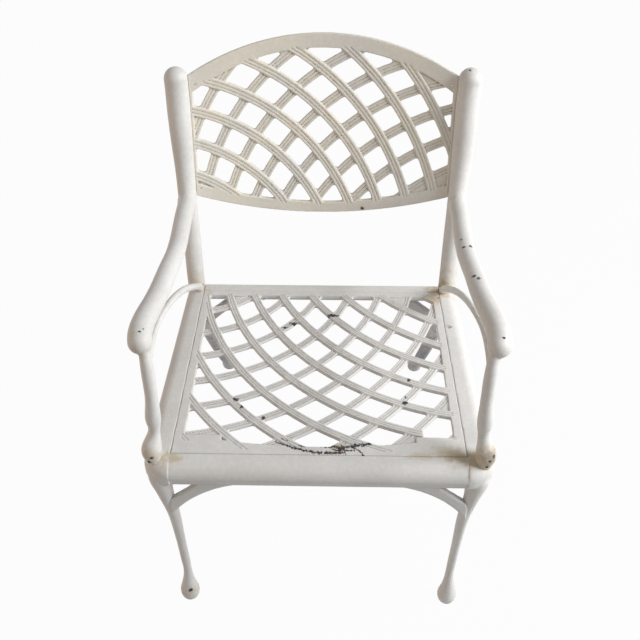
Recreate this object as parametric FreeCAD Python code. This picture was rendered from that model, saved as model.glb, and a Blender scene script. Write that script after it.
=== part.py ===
import FreeCAD, Part
import math
import os

# Cast garden armchair with a bowed lattice back, a lattice seat and cabriole front legs.
# Millimetres. The floor is Z = 0, the sitter faces -Y and the chair is the same on both
# sides of the plane X = 0. Each piece is a separate casting or fastener.

V = FreeCAD.Vector

# Driving sizes
seat_height = 425.0            # floor to the top face of the seat
joint_gap = 0.3                # open joint between castings that lie side by side
bolt_clearance = 0.15          # all round a fastener in its hole

# seat lattice panel
seat_seam_half_rear = 222.0    # centre plane to the long joint, at the rear
seat_seam_half_front = 232.0   # the same joint at the front
seat_front_y = -220.0          # joint with the front rail
seat_rear_y = 180.0            # joint with the rear rail
seat_panel_thickness = 8.0
seat_open_half_rear = 209.0    # lattice opening, half width at the rear
seat_open_half_front = 215.0
seat_open_front_y = -181.0     # at the corners
seat_open_corner_x = 155.0     # the front edge steps forward here, under a bar
seat_open_front_bow = 22.0     # the middle of the front edge lies this much further forward
seat_open_rear_y = 166.0
lattice_step_down = 2.0        # the under bars lie this much lower than the over bars
lattice_ledge = 0.4            # the lower layer shows this much beside an over bar
cell_corner_radius = 4.0
smallest_cell = 130.0          # smaller gaps of the seat were cast solid, square millimetres
seat_solid_spots = ((-155.6, 155.8), (144.6, 154.8))    # two more gaps that were cast solid

# seat lattice bars: two families of arcs, one laid over the other
seat_over_centre = (302.1, 310.7)
seat_over_radius = 449.8
seat_over_step = (-24.1, -33.6)    # how the centre moves from bar to bar
seat_over_growth = 13.3            # how the radius grows from bar to bar
seat_over_width = 13.2
seat_under_centre = (-278.7, 276.4)
seat_under_radius = 400.6
seat_under_step = (-12.3, 4.3)
seat_under_growth = 66.4
seat_under_width = 12.9
seat_short_bar_x = 167.0       # the foremost bars stop here, under the bars that cross them

# back panel
back_foot_y = 206.0            # post axis where it starts to lean
back_foot_z = 421.0
back_lean_angle = 12.35        # degrees from upright
back_sag = 28.0                # the middle lies this much behind the edges
back_panel_thickness = 9.0
back_half_width = 231.0
back_corner_low = 181.7        # heights along the lean, from the seat top
back_corner_high = 394.0
back_bottom_mid = 137.0
back_top_mid = 463.0
back_bottom_band = 20.0
back_top_band = 24.5
back_open_half = 225.0
back_open_corner_high = 368.0
back_open_corner_low = 201.0
back_over_centre = (-307.1, 23.2)
back_over_radius = 432.6
back_over_step = (8.8, 15.4)
back_over_growth = 38.0
back_over_width = 17.0
back_under_centre = (276.6, 2.9)
back_under_radius = 432.4
back_under_step = (-49.5, 53.9)
back_under_growth = -18.5
back_under_width = 16.2
back_smallest_cell = 110.0
back_solid_spots = ((178.7, 393.0), (215.0, 206.8))

# rails round the seat
rail_wall = 6.0
rail_depth = 44.0
rail_tuck = 8.0                # the lower lip turns back under by this much
rail_ledge = 11.0              # shelf under the edge of the seat panel
rail_ledge_thickness = 5.0
side_rail_width_rear = 34.0
side_rail_width_front = 43.0
side_rail_roll = 22.0
front_rail_width = 36.0
front_rail_roll = 24.0
rear_rail_width = 23.0
rear_rail_roll = 9.0
rear_rail_depth = 32.0
rear_rail_wall = 4.5
end_web = 6.0                  # wall that closes a rail's front end
rear_web = 10.0                # thicker wall where a rail meets a post
boss_length = 18.0             # solid pads in the rails that take the brace screws
boss_height = 17.0

# back posts with the rear legs
post_x_top = 252.0
post_x_seat = 240.0
post_length = 392.0            # seat top to the centre of the round head, along the lean
post_radius_top = 20.5
post_radius_seat = 16.0
rear_foot_x = 221.0
rear_foot_y = 413.0
rear_leg_radius = 12.0
rear_foot_radius = 15.5

# front legs
knee_x = 251.0
knee_y = -236.0
front_foot_x = 240.0
front_foot_y = -206.0
knee_radius = 18.5
ankle_radius = 8.1
ankle_height = 72.0
front_foot_radius = 17.5
front_foot_height = 34.0

# arms
arm_height = 640.0             # highest point of the arm's axis
arm_rear_height = 591.0        # where the arm meets the post
arm_waist_x = 236.5            # narrowest place between the arms, to their axes
arm_nose_x = 259.5
arm_nose_y = -188.0
arm_radius_rear = 15.8
arm_radius_waist = 15.0
arm_radius_nose = 17.8
support_radius = 10.5
support_bow = 6.7              # the support leans in by this much at half height
knob_radius = 16.0
arm_brace_radius = 6.0
arm_brace_foot_x = 231.0
arm_brace_foot_y = 181.0
arm_brace_rise = 186.0         # highest point of the thin brace above the seat

# leg braces
brace_bar_width = 24.0
brace_bar_thickness = 12.0
brace_seat = 5.0               # metal left under a brace screw's head
brace_reach = 110.0            # from the leg towards the middle of the rail
brace_drop = 60.0              # below the rail

# fasteners
rail_bolt_radius = 3.0
rail_bolt_length = 26.0
bolt_head_radius = 5.5
bolt_head_height = 4.0
washer_radius = 7.0
washer_thickness = 1.2
seat_screw_radius = 2.5
seat_screw_bite = 5.5          # how far a seat screw reaches into the panel
seat_screw_head_radius = 4.6
seat_screw_head_height = 2.6
stud_radius = 2.5
stud_length = 24.0
arm_stud_radius = 5.0
arm_stud_length = 36.0
arm_bolt_radius = 4.0
arm_bolt_bite = 22.0
brace_screw_radius = 2.5
brace_screw_length = 20.0
brace_screw_head_radius = 3.6
brace_screw_head_height = 2.8

seat_bottom = seat_height - seat_panel_thickness
rail_bottom = seat_height - rail_depth
lean = math.radians(back_lean_angle)
foremost_y = seat_front_y - front_rail_width
rearmost_y = rear_foot_y + rear_foot_radius
middle_y = (foremost_y + rearmost_y) / 2.0


# Small helpers
def line(a, b):
    return Part.LineSegment(a, b).toShape()


def arc(a, m, b):
    return Part.Arc(a, m, b).toShape()


def face(edges):
    return Part.Face(Part.Wire(edges))


def polygon(points):
    return Part.Face(Part.makePolygon(points + [points[0]]))


def mirrored(shape):
    return shape.mirror(V(0, 0, 0), V(1, 0, 0))


def section(centre, tangent, radius):
    """A circle across a bar, turned so that its start lies on the +X side."""
    tangent = V(tangent)
    tangent.normalize()
    side = V(1, 0, 0) - tangent * tangent.x
    side.normalize()
    across = tangent.cross(side)
    circle = Part.makeCircle(radius)
    frame = FreeCAD.Matrix(side.x, across.x, tangent.x, centre.x,
                           side.y, across.y, tangent.y, centre.y,
                           side.z, across.z, tangent.z, centre.z,
                           0, 0, 0, 1)
    circle.Placement = FreeCAD.Placement(frame)
    return Part.Wire([circle])


def tapered_bar(stations, first=None, last=None):
    """A round bar through stations (x, y, z, radius); first and last set the end directions."""
    points = [V(s[0], s[1], s[2]) for s in stations]
    wires = []
    for i, centre in enumerate(points):
        before = points[max(i - 1, 0)]
        after = points[min(i + 1, len(points) - 1)]
        tangent = after - before
        if i == 0 and first is not None:
            tangent = first
        if i == len(points) - 1 and last is not None:
            tangent = last
        wires.append(section(centre, tangent, stations[i][3]))
    return Part.makeLoft(wires, True, False)


def arc_family(centre, radius, step, growth, width, count):
    """Flat rings of a family of bars, numbered both ways from the middle one."""
    rings = []
    for k in range(-count, count + 1):
        if radius + k * growth > width:
            where = (centre[0] + k * step[0], centre[1] + k * step[1])
            rings.append(ring_face(where, radius + k * growth, width))
    return rings


def rounded_cell(cell, radius):
    """Rounds the corners of one gap of the lattice by shrinking it and growing it again."""
    radius = min(radius, 0.8 * cell.Area / cell.Length)
    small = cell.makeOffset2D(-radius, 0, False, False, True)
    grown = []
    for piece in small.Faces:
        if piece.Area > radius:
            grown += piece.makeOffset2D(radius, 0, False, False, True).Faces
    return grown


def lattice_gaps(opening, over_bars, under_bars, smallest, solid_spots):
    """Flat faces of the gaps between the bars."""
    cells = opening.cut(over_bars).cut(under_bars)
    gaps = []
    for cell in cells.Faces:
        solid = any(cell.isInside(V(spot[0], spot[1], 0), 0.01, True) for spot in solid_spots)
        if cell.Area > smallest and not solid:
            gaps += rounded_cell(cell, cell_corner_radius)
    return [gap for gap in gaps if gap.Area > smallest]


def lattice_strips(opening, narrow_bars):
    """Flat faces where the lower layer shows, a ledge wider than the gaps between the over bars."""
    wider = opening.makeOffset2D(lattice_ledge, 0, False, False, True)
    return wider.cut(narrow_bars).Faces


def ring_face(centre, radius, width):
    outer = Part.Wire([Part.makeCircle(radius + width / 2.0, V(centre[0], centre[1], 0))])
    inner = Part.Wire([Part.makeCircle(radius - width / 2.0, V(centre[0], centre[1], 0))])
    return Part.makeFace([outer, inner], "Part::FaceMakerBullseye")


def raised(faces, low, high):
    """Flat faces in the plane Z = 0 made into one block of prisms from low to high."""
    prisms = []
    for f in faces:
        prism = f.extrude(V(0, 0, high - low))
        prism.translate(V(0, 0, low))
        prisms.append(prism)
    return Part.makeCompound(prisms)


def disc(centre, direction, radius, length):
    return Part.makeCylinder(radius, length, centre, direction)


def headed(centre, direction, radius, length, head_radius, head_height):
    """A round headed screw: centre is under its head and direction points along its shank."""
    shank = disc(centre, direction, radius, length)
    head = disc(centre - direction * head_height, direction, head_radius, head_height)
    return shank.fuse(head)


def hex_bolt(centre, direction, radius, length, head_radius, head_height):
    shank = disc(centre, direction, radius, length)
    corners = []
    side = V(0, 0, 1) if abs(direction.z) < 0.9 else V(1, 0, 0)
    side = side - direction * side.dot(direction)
    side.normalize()
    across = direction.cross(side)
    base = centre - direction * head_height
    for i in range(6):
        turn = math.radians(60.0 * i)
        corners.append(base + side * (head_radius * math.cos(turn))
                       + across * (head_radius * math.sin(turn)))
    head = polygon(corners).extrude(direction * head_height)
    return head.fuse(shank)


def ring_washer(centre, direction, hole, radius, thickness):
    return disc(centre, direction, radius, thickness).cut(disc(centre, direction, hole, thickness))


def save(name, shape):
    """Moves a piece so that the whole chair is centred over the origin, and writes its file."""
    shape = shape.copy()
    shape.translate(V(0, -middle_y, 0))
    solids = shape.Solids
    if not solids:
        raise RuntimeError(name + " has no solid")
    result = solids[0] if len(solids) == 1 else Part.makeCompound(solids)
    result.exportStep("parts/" + name + ".step")
    print(name, len(solids), "solids", round(sum(s.Volume for s in solids)), result.isValid())


# Seat panel
def seam_half(y):
    """Half width of the seat panel's joint at the depth y."""
    share = (y - seat_front_y) / (seat_rear_y - seat_front_y)
    return seat_seam_half_front + (seat_seam_half_rear - seat_seam_half_front) * share


def seat_panel():
    front = seat_front_y + joint_gap
    rear = seat_rear_y - joint_gap
    plate = polygon([V(-seam_half(front) + joint_gap, front, 0), V(seam_half(front) - joint_gap, front, 0),
                     V(seam_half(rear) - joint_gap, rear, 0), V(-seam_half(rear) + joint_gap, rear, 0)])
    plate = plate.extrude(V(0, 0, seat_panel_thickness))
    plate.translate(V(0, 0, seat_bottom))
    front_left = V(-seat_open_half_front, seat_open_front_y, 0)
    front_right = V(seat_open_half_front, seat_open_front_y, 0)
    rear_right = V(seat_open_half_rear, seat_open_rear_y, 0)
    rear_left = V(-seat_open_half_rear, seat_open_rear_y, 0)
    step_y = seat_open_front_y - seat_open_front_bow / 2.0
    step_left = V(-seat_open_corner_x, step_y, 0)
    step_right = V(seat_open_corner_x, step_y, 0)
    shelf_left = V(-seat_open_corner_x, seat_open_front_y, 0)
    shelf_right = V(seat_open_corner_x, seat_open_front_y, 0)
    front_middle = V(0, seat_open_front_y - seat_open_front_bow, 0)
    opening = face([line(front_left, shelf_left), line(shelf_left, step_left),
                    arc(step_left, front_middle, step_right), line(step_right, shelf_right),
                    line(shelf_right, front_right), line(front_right, rear_right),
                    line(rear_right, rear_left), line(rear_left, front_left)])
    def over_bars(width):
        bars = arc_family(seat_over_centre, seat_over_radius, seat_over_step, seat_over_growth, width, 6)
        bars[7] = bars[7].cut(beyond)
        return bars
    beyond = Part.makePlane(600.0, 600.0, V(seat_short_bar_x, -600.0, 0))
    under = arc_family(seat_under_centre, seat_under_radius, seat_under_step, seat_under_growth,
                       seat_under_width, 6)
    under[7] = under[7].cut(mirrored(beyond))
    gaps = lattice_gaps(opening, over_bars(seat_over_width), under, smallest_cell, seat_solid_spots)
    strips = lattice_strips(opening, over_bars(seat_over_width - 2.0 * lattice_ledge))
    plate = plate.cut(raised(strips, seat_height - lattice_step_down, seat_height + 1.0))
    return plate.cut(raised(gaps, seat_bottom - 1.0, seat_height + 1.0))


# Back panel
def leaned(shape):
    """Moves a shape from the upright back frame to its place behind the seat.

    In the upright frame X is across, Y points back and Z runs up the lean from the seat top."""
    placed = shape.copy()
    placed.rotate(V(0, 0, 0), V(1, 0, 0), -back_lean_angle)
    placed.translate(V(0, back_foot_y, back_foot_z))
    return placed


def leaned_point(x, y, z):
    """The same move for one point."""
    return V(x, back_foot_y + y * math.cos(lean) + z * math.sin(lean),
             back_foot_z - y * math.sin(lean) + z * math.cos(lean))


def upright(shape):
    """Turns a flat XY drawing into the upright XZ plane, facing +Y."""
    turned = shape.copy()
    turned.rotate(V(0, 0, 0), V(1, 0, 0), 90.0)
    return turned


def bow_layer(front_depth, rear_depth):
    """The bowed layer of the back between two depths behind its front face."""
    radius = (back_half_width ** 2 + back_sag ** 2) / (2.0 * back_sag)
    axis = V(0, back_sag - radius, 0)
    outer = Part.makeCylinder(radius + rear_depth, back_top_mid + 60.0, axis)
    inner = Part.makeCylinder(radius + front_depth, back_top_mid + 60.0, axis)
    layer = outer.cut(inner)
    window = Part.makeBox(2 * back_half_width + 60.0, 160.0, back_top_mid + 60.0,
                          V(-back_half_width - 30.0, -60.0, 0))
    return layer.common(window)


def back_outline(half, low, high, bottom_mid, top_mid):
    return face([arc(V(-half, low, 0), V(0, bottom_mid, 0), V(half, low, 0)),
                 line(V(half, low, 0), V(half, high, 0)),
                 arc(V(half, high, 0), V(0, top_mid, 0), V(-half, high, 0)),
                 line(V(-half, high, 0), V(-half, low, 0))])


def through_back(faces):
    """Prisms through the whole depth of the back, in the upright frame."""
    block = raised(faces, -120.0, 120.0)
    return upright(block)


def back_panel(posts):
    spread = back_half_width + 6.0
    outline = back_outline(spread, back_corner_low, back_corner_high, back_bottom_mid, back_top_mid)
    opening = back_outline(back_open_half, back_open_corner_low, back_open_corner_high,
                           back_bottom_mid + back_bottom_band, back_top_mid - back_top_band)

    def over_bars(width):
        return arc_family(back_over_centre, back_over_radius, back_over_step, back_over_growth, width, 6)
    under = arc_family(back_under_centre, back_under_radius, back_under_step, back_under_growth,
                       back_under_width, 6)
    gaps = lattice_gaps(opening, over_bars(back_over_width), under, back_smallest_cell, back_solid_spots)
    strips = lattice_strips(opening, over_bars(back_over_width - 2.0 * lattice_ledge))
    panel = bow_layer(0.0, back_panel_thickness).common(through_back([outline]))
    step = bow_layer(-5.0, lattice_step_down).common(through_back(strips))
    panel = panel.cut(step).cut(through_back(gaps))
    panel = leaned(panel)
    for post in posts:
        panel = panel.cut(post)
    return max(panel.Solids, key=lambda s: s.Volume)


# Back posts
def post_point(rise):
    """Point on a post's axis, measured up the lean from the seat."""
    return leaned_point(post_x_seat + (post_x_top - post_x_seat) * rise / post_length, 0, rise)


def back_post():
    head = post_point(post_length)
    stations = [(head.x, head.y, head.z, post_radius_top)]
    for share, radius_share in ((0.86, 1.0), (0.68, 0.62), (0.5, 0.25), (0.3, 0.1), (0.14, 0.05)):
        p = post_point(post_length * share)
        radius = post_radius_seat + (post_radius_top - post_radius_seat) * radius_share
        stations.append((p.x, p.y, p.z, radius))
    stations.append((post_x_seat, back_foot_y, seat_height, post_radius_seat))
    run_x = rear_foot_x - post_x_seat
    run_y = rear_foot_y - back_foot_y
    taper = post_radius_seat - rear_leg_radius
    for drop, slide, thin in ((0.16, 0.03, 0.25), (0.33, 0.15, 0.55), (0.55, 0.40, 0.8), (0.78, 0.70, 1.0)):
        stations.append((post_x_seat + run_x * (0.35 * slide + 0.65 * drop), back_foot_y + run_y * slide,
                         seat_height * (1.0 - drop), post_radius_seat - taper * thin))
    foot = rear_foot_radius
    stations.append((rear_foot_x, rear_foot_y - foot * 1.7, foot * 2.5, rear_leg_radius + 0.5))
    stations.append((rear_foot_x, rear_foot_y - foot * 0.5, foot * 0.9, foot))
    stations.append((rear_foot_x, rear_foot_y, 0, foot))
    stations.append((rear_foot_x, rear_foot_y, -foot * 0.6, foot))
    post = tapered_bar(stations, last=V(0, 0, -1))
    return above_floor(post.fuse(Part.makeSphere(post_radius_top, head)))


def above_floor(shape):
    """Cuts a foot flat at the floor."""
    box = shape.BoundBox
    return shape.cut(Part.makeBox(box.XLength + 20.0, box.YLength + 20.0, 100.0,
                                  V(box.XMin - 10.0, box.YMin - 10.0, -100.0)))


# Rails
def rail_outside(width, roll, depth, tuck, wall, along):
    """Outline of a rail's section. u runs outwards from the joint with the seat panel."""
    top = seat_height
    low = seat_height - depth
    bend = 1.0 - math.sqrt(0.5)
    shelf = seat_bottom - rail_ledge_thickness
    return Part.Wire([line(along(0, top), along(width - roll, top)),
                      arc(along(width - roll, top), along(width - roll * bend, top - roll * bend),
                          along(width, top - roll)),
                      line(along(width, top - roll), along(width - tuck, low)),
                      line(along(width - tuck, low), along(width - tuck - wall, low)),
                      line(along(width - tuck - wall, low), along(0, shelf)),
                      line(along(0, shelf), along(-rail_ledge, shelf)),
                      line(along(-rail_ledge, shelf), along(-rail_ledge, seat_bottom)),
                      line(along(-rail_ledge, seat_bottom), along(0, seat_bottom)),
                      line(along(0, seat_bottom), along(0, top))])


def rail_hollow(width, roll, depth, tuck, wall, along):
    """Outline of the hollow inside a rail, open at the bottom."""
    top = seat_height - wall
    low = seat_height - depth - wall
    bend = 1.0 - math.sqrt(0.5)
    inner_roll = roll - wall
    lip = width - wall - tuck * (depth + wall - roll) / (depth - roll)
    return Part.Wire([line(along(wall, top), along(width - roll, top)),
                      arc(along(width - roll, top),
                          along(width - wall - inner_roll * bend, top - inner_roll * bend),
                          along(width - wall, top - inner_roll)),
                      line(along(width - wall, top - inner_roll), along(lip, low)),
                      line(along(lip, low), along(wall, low)),
                      line(along(wall, low), along(wall, top))])


def straight_rail(half, sizes, web):
    """A rail across the chair, closed by a wall at both ends."""
    rail = Part.Face(rail_outside(*sizes)).extrude(V(2 * half, 0, 0))
    hollow = Part.Face(rail_hollow(*sizes)).extrude(V(2 * (half - web), 0, 0))
    hollow.translate(V(web, 0, 0))
    return rail.cut(hollow)


def front_rail():
    half = seat_seam_half_front
    lip = seat_front_y - (front_rail_width - rail_tuck)

    def at_left(u, z):
        return V(-half, seat_front_y - u, z)
    sizes = (front_rail_width, front_rail_roll, rail_depth, rail_tuck, rail_wall, at_left)
    rail = straight_rail(half, sizes, end_web)
    pad = Part.makeBox(boss_length, rail_wall * 2.2, boss_height,
                       V(brace_screw_x(seat_seam_half_front) - boss_length / 2.0, lip, rail_bottom))
    return rail.fuse([pad, mirrored(pad)])


def rear_rail(posts):
    half = seam_half(seat_rear_y)
    low = seat_height - rear_rail_depth
    tuck = rail_tuck / 2.0

    def at_left(u, z):
        return V(-half, seat_rear_y + u, z)
    sizes = (rear_rail_width, rear_rail_roll, rear_rail_depth, tuck, rear_rail_wall, at_left)
    rail = straight_rail(half, sizes, rear_web)
    pad = Part.makeBox(boss_length, rear_rail_width - tuck - rear_rail_wall, boss_height * 0.7,
                       V(brace_screw_x(half) - boss_length / 2.0, seat_rear_y + rear_rail_wall, low))
    rail = rail.fuse([pad, mirrored(pad)])
    for post in posts:
        rail = rail.cut(post)
    return max(rail.Solids, key=lambda s: s.Volume)


def side_rail_width(y):
    share = (y - seat_front_y) / (seat_rear_y - seat_front_y)
    return side_rail_width_front + (side_rail_width_rear - side_rail_width_front) * share


def side_rail_end():
    """Depth of the rear end of the side rails, just inside the posts."""
    return back_foot_y - 7.0


def side_rail(post):
    def sizes(y):
        return (side_rail_width(y), side_rail_roll, rail_depth, rail_tuck, rail_wall,
                lambda u, z: V(seam_half(y) + u, y, z))
    rear_y = side_rail_end()
    rail = Part.makeLoft([rail_outside(*sizes(seat_front_y)), rail_outside(*sizes(rear_y))], True, True)
    hollow = Part.makeLoft([rail_hollow(*sizes(seat_front_y + end_web)),
                            rail_hollow(*sizes(rear_y - rear_web))], True, True)
    inner = seam_half(seat_rear_y)
    reach = side_rail_width_front
    ledge = rail_ledge + joint_gap
    front_notch = Part.makeBox(reach, ledge, reach, V(seat_seam_half_front - reach + joint_gap,
                                                      seat_front_y, seat_bottom - reach / 2.0))
    rear_notch = Part.makeBox(reach, reach, reach, V(inner - reach + joint_gap, seat_rear_y - ledge,
                                                     seat_bottom - reach))
    rear_top = Part.makeBox(reach, reach, reach, V(inner - reach + joint_gap, seat_rear_y - joint_gap,
                                                   seat_bottom - reach / 2.0))
    rail = rail.cut(hollow).cut(front_notch).cut(rear_notch).cut(rear_top).cut(post)
    return max(rail.Solids, key=lambda s: s.Volume)


# Front legs
def front_leg():
    """Corner block with rolled edges, and the cabriole leg below it."""
    x0 = seat_seam_half_front
    y0 = seat_front_y
    reach_x = side_rail_width_front
    reach_y = front_rail_width
    oval = Part.Ellipse(V(0, 0, 0), reach_x, reach_y)
    rim = Part.ArcOfEllipse(oval, 1.5 * math.pi, 2.0 * math.pi).toShape()
    rim.translate(V(x0, y0, 0))
    outline = Part.Face(Part.Wire([rim, line(V(x0 + reach_x, y0, 0), V(x0, y0, 0)),
                                   line(V(x0, y0, 0), V(x0, y0 - reach_y, 0))]))
    block = outline.extrude(V(0, 0, rail_depth))
    block.translate(V(0, 0, rail_bottom))
    top_rim = [e for e in block.Edges if e.BoundBox.ZMin > seat_height - 0.01 and is_rim(e)]
    block = block.makeFillet(min(side_rail_roll, front_rail_roll) - 1.0, top_rim)
    low_rim = [e for e in block.Edges if e.BoundBox.ZMax < rail_bottom + 0.01 and is_rim(e)]
    block = block.makeFillet(rail_tuck + 4.0, low_rim)
    drop = rail_bottom - ankle_height
    taper = knee_radius - ankle_radius
    stations = [(knee_x, knee_y + 2.0, rail_bottom + drop * 0.07, knee_radius - 5.0)]
    for down, inward, back, thin in ((-0.03, 0.0, 0.0, 0.1), (0.023, 0.2, -0.03, 0.2),
                                     (0.078, 0.4, -0.03, 0.42), (0.15, 0.62, 0.0, 0.62),
                                     (0.257, 0.93, 0.13, 0.77), (0.495, 1.04, 0.53, 0.93),
                                     (0.723, 1.0, 0.87, 1.02), (0.863, 1.04, 1.0, 1.03),
                                     (1.0, 1.1, 1.03, 1.0)):
        stations.append((knee_x + (front_foot_x - knee_x) * inward,
                         knee_y + (front_foot_y - knee_y) * back,
                         rail_bottom - drop * down, knee_radius - taper * thin))
    stations.append((front_foot_x, front_foot_y, front_foot_height, front_foot_radius * 0.82))
    stations.append((front_foot_x, front_foot_y, front_foot_height * 0.42, front_foot_radius))
    stations.append((front_foot_x, front_foot_y, 0.0, front_foot_radius * 0.77))
    stations.append((front_foot_x, front_foot_y, -front_foot_height * 0.2, front_foot_radius * 0.5))
    leg = tapered_bar(stations, first=V(0, 0, -1), last=V(0, 0, -1))
    return above_floor(block.fuse(leg))


def is_rim(edge):
    """True for the curved outer edge of the corner block."""
    return edge.Curve.TypeId != "Part::GeomLine"


# Arms
def arm(neighbours):
    """The arm with its rounded nose and the S-shaped support that stands on the knee."""
    root = post_point((arm_rear_height - back_foot_z) / math.cos(lean))
    climb = arm_height - arm_rear_height
    thin = arm_radius_rear - arm_radius_waist
    swell = arm_radius_nose - arm_radius_waist
    stations = []
    for along, outward_rear, outward_nose, up, fat in (
            (0.0, 1.0, 0.0, 0.0, 0.0), (0.082, 0.74, 0.0, 0.22, 0.0), (0.185, 0.37, 0.0, 0.45, 0.0),
            (0.386, 0.0, 0.0, 0.63, 0.0), (0.521, 0.0, 0.0, 0.78, 0.0), (0.626, 0.0, 0.17, 0.88, 0.1),
            (0.736, 0.0, 0.33, 0.96, 0.3), (0.827, 0.0, 0.57, 1.0, 0.5), (0.900, 0.0, 0.85, 1.0, 0.75),
            (0.956, 0.0, 1.0, 0.94, 1.0), (1.0, 0.0, 0.96, 0.82, 1.0)):
        stations.append((arm_waist_x + (root.x - arm_waist_x) * outward_rear
                         + (arm_nose_x - arm_waist_x) * outward_nose,
                         root.y + (arm_nose_y - root.y) * along,
                         arm_rear_height + climb * up,
                         arm_radius_waist + thin * max(outward_rear, 0.3) + (swell - thin * 0.3) * fat))
    bar = tapered_bar(stations)
    nose = V(stations[-1][0], stations[-1][1], stations[-1][2])
    bar = bar.fuse(Part.makeSphere(arm_radius_nose, nose))
    head = V(nose.x - 4.5, nose.y - 4.0, arm_height - 15.0)
    foot = V(knee_x + 6.5, knee_y + 5.0, seat_height)
    stations = []
    for down, bow, forward, fat in ((0.0, 0.0, 0.0, 0.86), (0.125, 0.66, 0.28, 0.92),
                                    (0.285, 0.97, 0.46, 0.95), (0.475, 1.0, 0.55, 1.0),
                                    (0.665, 0.79, 0.6, 1.1), (0.835, 0.28, 0.74, 1.19)):
        stations.append((head.x + (foot.x - head.x) * down - support_bow * bow,
                         head.y + (foot.y - head.y) * forward,
                         head.z + (foot.z - head.z) * down, support_radius * fat))
    stations.append((foot.x + 0.5, foot.y + 3.0, foot.z + 17.0, knob_radius))
    stations.append((foot.x, foot.y, foot.z + 2.0, knob_radius - 3.0))
    stations.append((foot.x, foot.y, foot.z - 14.0, knob_radius - 6.0))
    whole = bar.fuse(tapered_bar(stations, last=V(0, 0, -1)))
    for other in neighbours:
        whole = whole.cut(other)
    return max(whole.Solids, key=lambda s: s.Volume)


def arm_brace(neighbours):
    """Thin bowed bar from the rear corner of the seat up to the underside of the arm."""
    start = V(arm_brace_foot_x - 1.0, arm_brace_foot_y + 4.0, seat_height)
    end = V(arm_nose_x - 9.5, arm_nose_y - 12.0, seat_height)
    stations = []
    for along, outward, up, fat in ((0.0, 0.0, -0.043, 1.3), (0.031, -0.02, 0.07, 1.2),
                                    (0.104, 0.0, 0.2, 1.1), (0.26, 0.087, 0.45, 1.05),
                                    (0.442, 0.26, 0.7, 1.0), (0.597, 0.435, 0.866, 0.94),
                                    (0.719, 0.61, 0.957, 0.87), (0.83, 0.78, 1.0, 0.84),
                                    (0.922, 0.913, 0.973, 0.9), (1.0, 1.0, 0.903, 1.0)):
        stations.append((start.x + (end.x - start.x) * outward,
                         start.y + (end.y - start.y) * along,
                         seat_height + arm_brace_rise * up, arm_brace_radius * fat))
    reach = 60.0
    below = Part.makeBox(reach, reach, reach, V(start.x - reach / 2.0, start.y - reach / 2.0,
                                                seat_height - reach))
    brace = tapered_bar(stations).cut(below)
    for other in neighbours:
        brace = brace.cut(other)
    return max(brace.Solids, key=lambda s: s.Volume)


# Leg braces
def brace_screw_x(half):
    """Where the screw goes up through a brace into its rail."""
    return half - brace_reach * 0.62


def leg_brace(y_mid, half, top_z, neighbours):
    """Curved flat bar from the leg up to the rail; it leaves a small gap in the corner."""
    leg_x = half + brace_bar_width / 3.0
    start = V(leg_x, 0, top_z - brace_drop - brace_bar_width)
    low_end = V(leg_x - brace_reach, 0, top_z)
    low_mid = V(leg_x - brace_reach * 0.4, 0, top_z - brace_drop * 0.53)
    up_start = V(leg_x, 0, top_z - brace_drop + brace_bar_width * 0.67)
    up_end = V(leg_x - brace_reach * 0.46, 0, top_z)
    up_mid = V(leg_x - brace_reach * 0.17, 0, top_z - brace_drop * 0.48)
    plate = face([arc(start, low_mid, low_end), line(low_end, up_end), arc(up_end, up_mid, up_start),
                  line(up_start, start)])
    bar = plate.extrude(V(0, brace_bar_thickness, 0))
    bar.translate(V(0, y_mid - brace_bar_thickness / 2.0, 0))
    well = disc(V(brace_screw_x(half), y_mid, top_z - brace_seat), V(0, 0, -1),
                brace_screw_head_radius + 0.6, brace_drop)
    bar = bar.cut(well)
    for other in neighbours:
        bar = bar.cut(other)
    return max(bar.Solids, key=lambda s: s.Volume)


# Fasteners
def drilled(shape, holes):
    for hole in holes:
        shape = shape.cut(hole)
    return max(shape.Solids, key=lambda s: s.Volume)


def both_sides(solids):
    return solids + [mirrored(s) for s in solids]


def bolt_line(face_point, direction):
    """Rail bolt and washer against a wall; direction runs from the head to the tip."""
    under_head = face_point - direction * washer_thickness
    hole_radius = rail_bolt_radius + bolt_clearance
    bolt = hex_bolt(under_head, direction, rail_bolt_radius, rail_bolt_length, bolt_head_radius,
                    bolt_head_height)
    washer = ring_washer(under_head, direction, hole_radius, washer_radius, washer_thickness)
    hole = disc(face_point, direction, hole_radius, rail_bolt_length - washer_thickness + 0.5)
    return bolt, washer, hole


# Build
os.makedirs("parts", exist_ok=True)

right_post = back_post()
left_post = mirrored(right_post)
right_leg = front_leg()
right_rail = side_rail(right_post)
rail_front = front_rail()
rail_rear = rear_rail([right_post, left_post])
panel_seat = seat_panel()
panel_back = back_panel([right_post, left_post])
right_arm = arm([right_post, right_leg, right_rail, rail_front])
right_arm_brace = arm_brace([right_post, right_arm])
front_lip_y = seat_front_y - (front_rail_width - rail_tuck) + rail_wall
rear_lip_y = seat_rear_y + rear_rail_width - rail_tuck / 2.0 - rear_rail_wall / 2.0
rear_rail_low = seat_height - rear_rail_depth
front_brace = leg_brace(front_lip_y, seat_seam_half_front, rail_bottom, [right_leg, rail_front])
rear_brace = leg_brace(rear_lip_y, seam_half(seat_rear_y), rear_rail_low,
                       [right_post, rail_rear, right_rail])

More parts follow.
